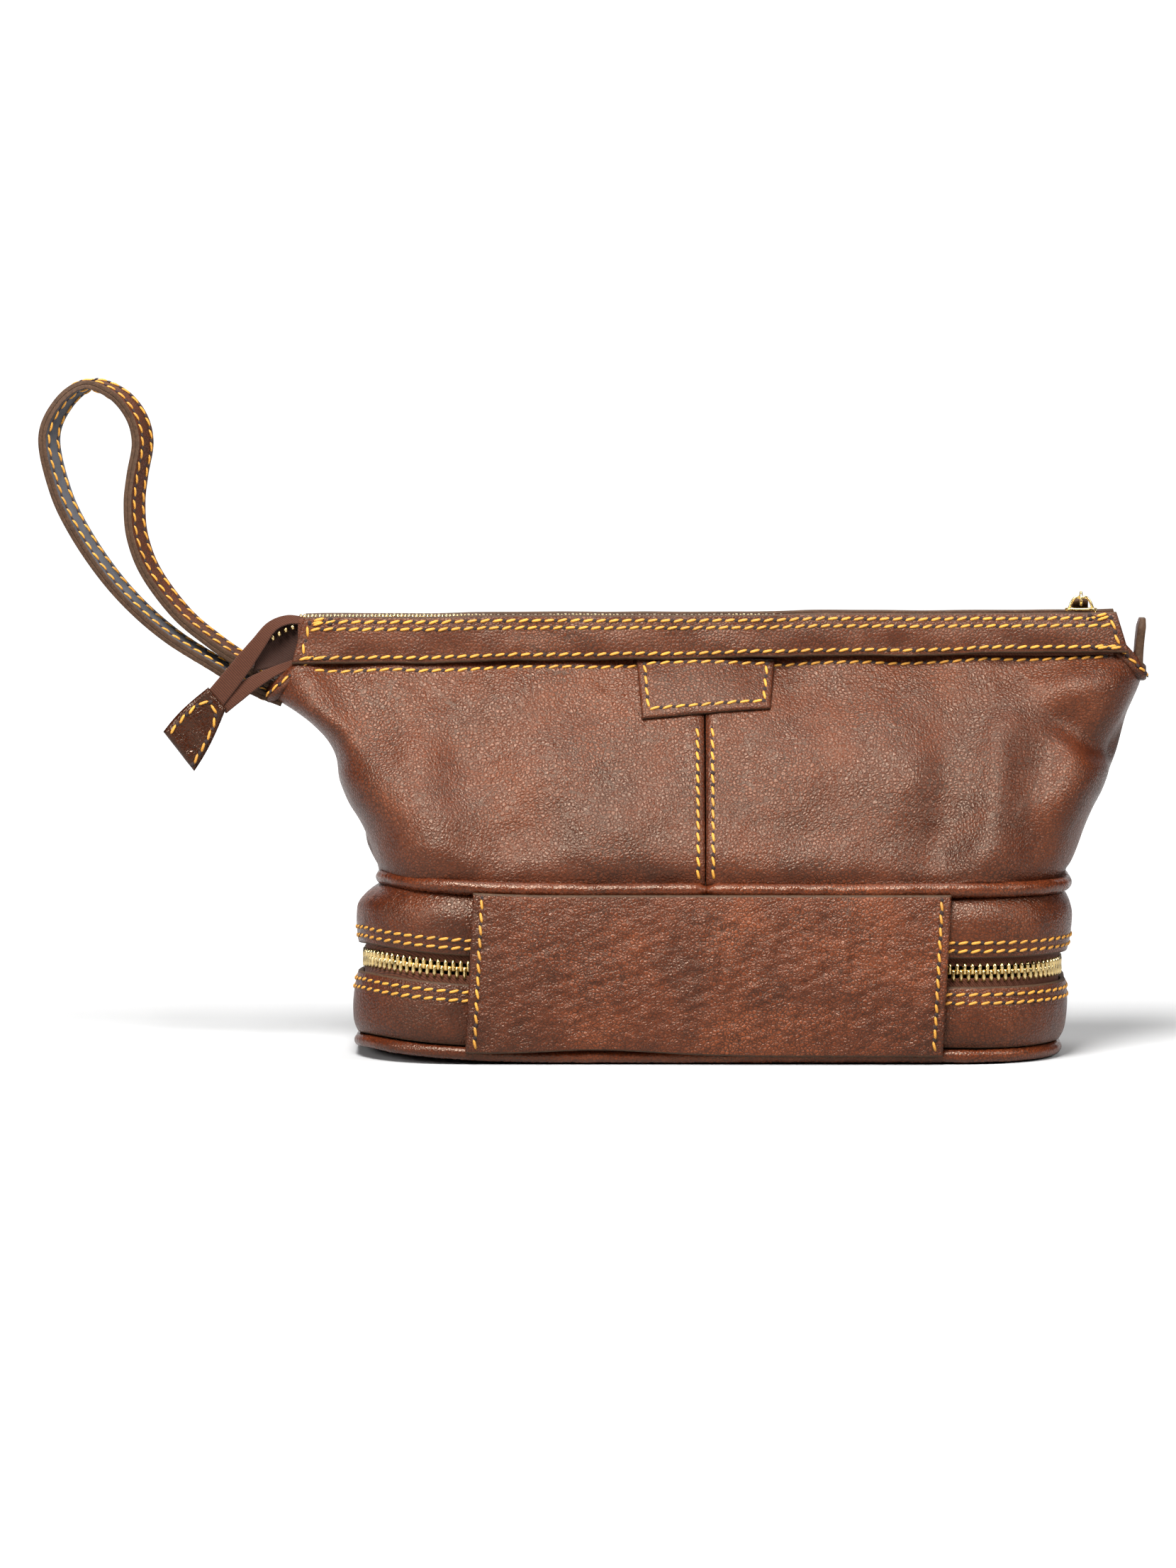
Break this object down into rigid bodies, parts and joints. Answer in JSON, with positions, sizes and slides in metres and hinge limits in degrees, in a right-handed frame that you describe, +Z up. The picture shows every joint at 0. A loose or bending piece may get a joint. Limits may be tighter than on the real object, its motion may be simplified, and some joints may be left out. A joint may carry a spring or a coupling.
{
  "type": "shaving kit bag",
  "caption": "Leather shaving kit bag: wedge-shaped zipped main compartment over a zipped clam-shell base, with a wrist strap.",
  "frame": {"origin": "centre of the base's underside, on the surface the bag stands on", "axes": "+X along the mouth to the right, +Y to the back, +Z up; the front with the patch faces -Y"},
  "size_m": [0.3688, 0.108, 0.2245],
  "materials": {
    "body_leather": "gloss",
    "dark_leather": "gloss",
    "strap_leather": "satin",
    "strap_suede": "matte",
    "zip_tape": "matte",
    "lining": "matte",
    "board": "matte",
    "brass": "polished"
  },
  "bodies": {
    "bag": {"divider_board": "board", "main_floor_lining": "lining", "top_piping": "dark_leather", "base_upper_band": "body_leather", "base_upper_lining": "lining", "base_zip_tape_upper": "zip_tape", "base_zip_teeth_upper": "brass", "hinge_panel_upper": "body_leather", "gusset_left": "body_leather", "gusset_right": "body_leather", "gusset_lining_left": "lining", "gusset_lining_right": "lining", "gusset_binding_left": "dark_leather", "gusset_binding_right": "dark_leather", "holding_tab": "body_leather"},
    "front_wall": {"front_panel_left": "body_leather", "front_panel_right": "body_leather", "front_patch": "body_leather", "front_collar": "body_leather", "front_lining": "lining", "front_zip_tape": "zip_tape", "front_zip_teeth": "brass", "front_zip_stop": "brass"},
    "back_wall": {"back_panel_left": "body_leather", "back_panel_right": "body_leather", "back_collar": "body_leather", "back_lining": "lining", "back_zip_tape": "zip_tape", "back_zip_teeth": "brass", "back_zip_stop": "brass"},
    "base_tray": {"bottom_panel": "body_leather", "bottom_piping": "dark_leather", "bottom_stiffener_board": "board", "base_lower_band": "body_leather", "base_lower_lining": "lining", "base_zip_tape_lower": "zip_tape", "base_zip_teeth_lower": "brass", "hinge_panel_lower": "body_leather"},
    "top_slider": {"top_slider": "brass"},
    "top_pull": {"top_pull_ring": "brass", "top_pull_tab": "dark_leather"},
    "base_slider_left": {"base_slider_left": "brass"},
    "base_slider_right": {"base_slider_right": "brass"},
    "base_pull_left": {"base_pull_ring_left": "brass", "base_pull_tab_left": "dark_leather"},
    "base_pull_right": {"base_pull_ring_right": "brass", "base_pull_tab_right": "dark_leather"},
    "zip_tail": {"tail_tape": "zip_tape", "tail_teeth": "brass", "tail_end_tab": "dark_leather"},
    "wrist_strap": {"strap_outer_layer": "strap_leather", "strap_inner_layer": "strap_suede"}
  },
  "joints": [
    {"name": "front_wall_swing", "type": "hinge", "parent": "bag", "child": "front_wall", "pos_m": [0, -0.0475, 0.0595], "axis": [1, 0, 0], "range_deg": [0, 22]},
    {"name": "back_wall_swing", "type": "hinge", "parent": "bag", "child": "back_wall", "pos_m": [0, 0.0475, 0.0595], "axis": [-1, 0, 0], "range_deg": [0, 22.5]},
    {"name": "top_slide", "type": "slide", "parent": "bag", "child": "top_slider", "axis": [-1, 0, 0], "range_m": [0, 0.248]},
    {"name": "top_pull_lift", "type": "hinge", "parent": "top_slider", "child": "top_pull", "pos_m": [0.1243, 0, 0.15171], "axis": [1, 0, 0], "range_deg": [0, 100]},
    {"name": "tray_open", "type": "hinge", "parent": "bag", "child": "base_tray", "pos_m": [0, -0.0523, 0.03025], "axis": [-1, 0, 0], "range_deg": [0, 100]},
    {"name": "base_slide_left", "type": "slide", "parent": "bag", "child": "base_slider_left", "axis": [-1, 0, 0], "range_m": [0, 0.07]},
    {"name": "base_slide_right", "type": "slide", "parent": "bag", "child": "base_slider_right", "axis": [1, 0, 0], "range_m": [0, 0.07]},
    {"name": "base_pull_swing_left", "type": "hinge", "parent": "base_slider_left", "child": "base_pull_left", "pos_m": [-0.0062, 0.05301, 0.03025], "axis": [1, 0, 0], "range_deg": [0, 170]},
    {"name": "base_pull_swing_right", "type": "hinge", "parent": "base_slider_right", "child": "base_pull_right", "pos_m": [0.0062, 0.05301, 0.03025], "axis": [1, 0, 0], "range_deg": [0, 170]},
    {"name": "zip_tail_swing", "type": "hinge", "parent": "bag", "child": "zip_tail", "pos_m": [-0.1405, -0.0042, 0.1417], "axis": [0, 1, 0], "range_deg": [0, 60]},
    {"name": "wrist_strap_swing", "type": "hinge", "parent": "bag", "child": "wrist_strap", "pos_m": [-0.1475, 0, 0.1215], "axis": [0, -1, 0], "range_deg": [-15, 95]}
  ],
  "couplings": [
    {"joint": "back_wall_swing", "follows": "front_wall_swing", "ratio": 1},
    {"joint": "top_slide", "follows": "front_wall_swing", "m_per_rad": 0.64},
    {"joint": "top_pull_lift", "follows": "front_wall_swing", "ratio": 4.4}
  ]
}
